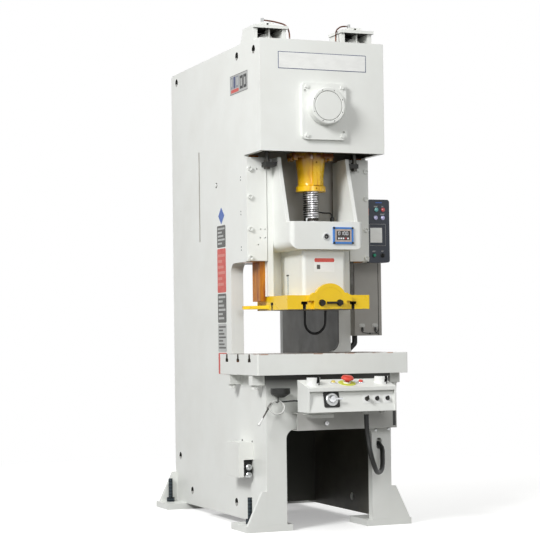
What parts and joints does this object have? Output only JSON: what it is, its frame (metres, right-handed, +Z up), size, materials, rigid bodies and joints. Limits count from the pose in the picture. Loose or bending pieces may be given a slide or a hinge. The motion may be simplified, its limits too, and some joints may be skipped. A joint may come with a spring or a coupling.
{
  "type": "mechanical stamping press",
  "caption": "Gap-frame mechanical stamping press with guided slide, screw-adjusted connecting rod, T-slotted bolster, two-hand control box, side panel and cabinet.",
  "frame": {"origin": "on the floor, at the centre of the four foundation studs", "axes": "+X to the viewer's right when facing the press, +Y to the back, +Z up"},
  "size_m": [0.991, 1.795, 2.66],
  "materials": {
    "frame_paint": "semi-gloss light grey machine enamel",
    "yellow_paint": "semi-gloss yellow machine enamel",
    "navy_paint": "semi-gloss dark blue-grey",
    "grey_paint": "satin grey motor enamel",
    "zinc_steel": "zinc plated",
    "ground_steel": "ground and oiled",
    "cast_iron": "machined cast iron",
    "bronze": "turned bronze",
    "copper": "bent copper pipe",
    "chrome_plate": "bright plated",
    "belt_rubber": "moulded belt",
    "black_rubber": "corrugated black conduit",
    "black_plastic": "moulded black",
    "white_plastic": "moulded white",
    "pale_plastic": "moulded pale grey",
    "lamp_plastic": "coloured lens",
    "blue_plastic": "moulded blue",
    "yellow_green_plastic": "moulded yellow-green",
    "green_plastic": "moulded green",
    "red_plastic": "moulded red"
  },
  "bodies": {
    "frame": {"side_plate_left": "frame_paint", "side_plate_right": "frame_paint", "apron": "frame_paint", "feet_and_lugs": "frame_paint", "foundation_bolts": "zinc_steel", "table_plate": "frame_paint", "inner_plates": "frame_paint", "crown_front": "frame_paint", "crown_bridges": "frame_paint", "front_bearing_wall": "frame_paint", "drive_covers": "frame_paint", "bushes": "bronze", "guide_columns": "frame_paint", "gibs": "frame_paint", "frame_bolts": "zinc_steel", "bolster": "frame_paint", "balance_cylinders": "frame_paint", "front_cover": "frame_paint", "oil_pipes": "copper", "drive_motor": "grey_paint", "v_belts": "belt_rubber", "control_box": "frame_paint", "palm_guards": "white_plastic", "switch_bezels": "yellow_green_plastic", "signal_lamps": "lamp_plastic", "lower_cover": "frame_paint", "cable_glands": "pale_plastic", "conduit": "black_rubber", "air_box": "frame_paint", "air_couplings": "zinc_steel", "gun_holder": "black_plastic", "blow_gun": "chrome_plate", "cabinet": "frame_paint", "panel_box": "navy_paint"},
    "slide": {"slide_casting": "frame_paint", "ball_cap": "bronze", "slide_plate": "yellow_paint", "shank_clamp": "yellow_paint", "counter_frame": "blue_plastic", "balancer_rods": "ground_steel", "slide_hose": "black_rubber"},
    "rod": {"connecting_rod": "yellow_paint"},
    "screw": {"adjusting_screw": "ground_steel"},
    "crank": {"crankshaft": "ground_steel", "main_gear": "cast_iron"},
    "strap": {"rod_strap": "cast_iron"},
    "pinion": {"pinion_shaft": "ground_steel"},
    "wheel": {"flywheel": "cast_iron"},
    "pulley": {"motor_pulley": "cast_iron"},
    "palm_left": {"palm_button_left": "black_plastic"},
    "palm_right": {"palm_button_right": "black_plastic"},
    "stop": {"stop_button": "red_plastic"},
    "start": {"start_button": "red_plastic"},
    "cam": {"cam_switch": "chrome_plate"},
    "key": {"key_switch": "chrome_plate"},
    "mode": {"mode_selector": "black_plastic"},
    "feed": {"feed_selector": "black_plastic"},
    "panel_push": {"panel_button": "green_plastic"},
    "panel_turn": {"panel_selector": "black_plastic"},
    "door": {"cabinet_door": "frame_paint"}
  },
  "joints": [
    {"name": "crank_turn", "type": "hinge", "parent": "frame", "child": "crank", "pos_m": [0, -0.559, 2.181], "axis": [0, 1, 0], "range_deg": [0, 180]},
    {"name": "ram_stroke", "type": "slide", "parent": "frame", "child": "rod", "axis": [0, 0, 1], "range_m": [0, 0.1201]},
    {"name": "strap_swing", "type": "hinge", "parent": "crank", "child": "strap", "pos_m": [0, -0.559, 2.121], "axis": [0, 1, 0], "range_deg": [-180.1, 0.1]},
    {"name": "pinion_turn", "type": "hinge", "parent": "frame", "child": "pinion", "pos_m": [0, -0.559, 1.829], "axis": [0, 1, 0], "range_deg": [-810.1, 0.1]},
    {"name": "die_height", "type": "slide", "parent": "rod", "child": "slide", "axis": [0, 0, 1], "range_m": [0, 0.0701]},
    {"name": "screw_turn", "type": "hinge", "parent": "slide", "child": "screw", "pos_m": [0, -0.559, 1.47], "axis": [0, 0, 1], "range_deg": [0, 2100]},
    {"name": "flywheel_spin", "type": "hinge", "parent": "frame", "child": "wheel", "pos_m": [0, 0.218, 1.829], "axis": [0, 1, 0], "continuous": true},
    {"name": "pulley_spin", "type": "hinge", "parent": "frame", "child": "pulley", "pos_m": [0.11, 0.218, 2.27], "axis": [0, 1, 0], "continuous": true},
    {"name": "palm_press_left", "type": "slide", "parent": "frame", "child": "palm_left", "axis": [0, 0.2673, -0.9636], "range_m": [0, 0.006], "stiffness_N_per_m": 800, "springref_m": -0.004},
    {"name": "palm_press_right", "type": "slide", "parent": "frame", "child": "palm_right", "axis": [0, 0.2673, -0.9636], "range_m": [0, 0.006], "stiffness_N_per_m": 800, "springref_m": -0.004},
    {"name": "stop_press", "type": "slide", "parent": "frame", "child": "stop", "axis": [0, 0.2673, -0.9636], "range_m": [0, 0.006]},
    {"name": "start_press", "type": "slide", "parent": "frame", "child": "start", "axis": [0, 0.2673, -0.9636], "range_m": [0, 0.004], "stiffness_N_per_m": 500, "springref_m": -0.004},
    {"name": "cam_turn", "type": "hinge", "parent": "frame", "child": "cam", "pos_m": [-0.111, -1.0421, 0.675], "axis": [0, -0.9723, 0.2337], "range_deg": [-90, 0]},
    {"name": "key_turn", "type": "hinge", "parent": "frame", "child": "key", "pos_m": [0.083, -1.0421, 0.675], "axis": [0, -0.9723, 0.2337], "range_deg": [-45, 45]},
    {"name": "mode_turn", "type": "hinge", "parent": "frame", "child": "mode", "pos_m": [0.14, -1.0421, 0.675], "axis": [0, -0.9723, 0.2337], "range_deg": [-45, 45]},
    {"name": "feed_turn", "type": "hinge", "parent": "frame", "child": "feed", "pos_m": [0.198, -1.0421, 0.675], "axis": [0, -0.9723, 0.2337], "range_deg": [-45, 45]},
    {"name": "panel_press", "type": "slide", "parent": "frame", "child": "panel_push", "axis": [0, 1, 0], "range_m": [0, 0.004], "stiffness_N_per_m": 400, "springref_m": -0.003},
    {"name": "panel_turn_knob", "type": "hinge", "parent": "frame", "child": "panel_turn", "pos_m": [0.437, -0.519, 1.424], "axis": [0, -1, 0], "range_deg": [-45, 45]},
    {"name": "door_swing", "type": "hinge", "parent": "frame", "child": "door", "pos_m": [0.499, 0.233, 1.292], "axis": [0, 0, 1], "range_deg": [0, 110]}
  ],
  "couplings": [
    {"joint": "ram_stroke", "follows": "crank_turn", "m_per_rad": 0.038197},
    {"joint": "strap_swing", "follows": "crank_turn", "ratio": -1},
    {"joint": "pinion_turn", "follows": "crank_turn", "ratio": -4.5},
    {"joint": "die_height", "follows": "screw_turn", "m_per_rad": 0.0019099},
    {"joint": "pulley_spin", "follows": "flywheel_spin", "ratio": 4.8214}
  ]
}
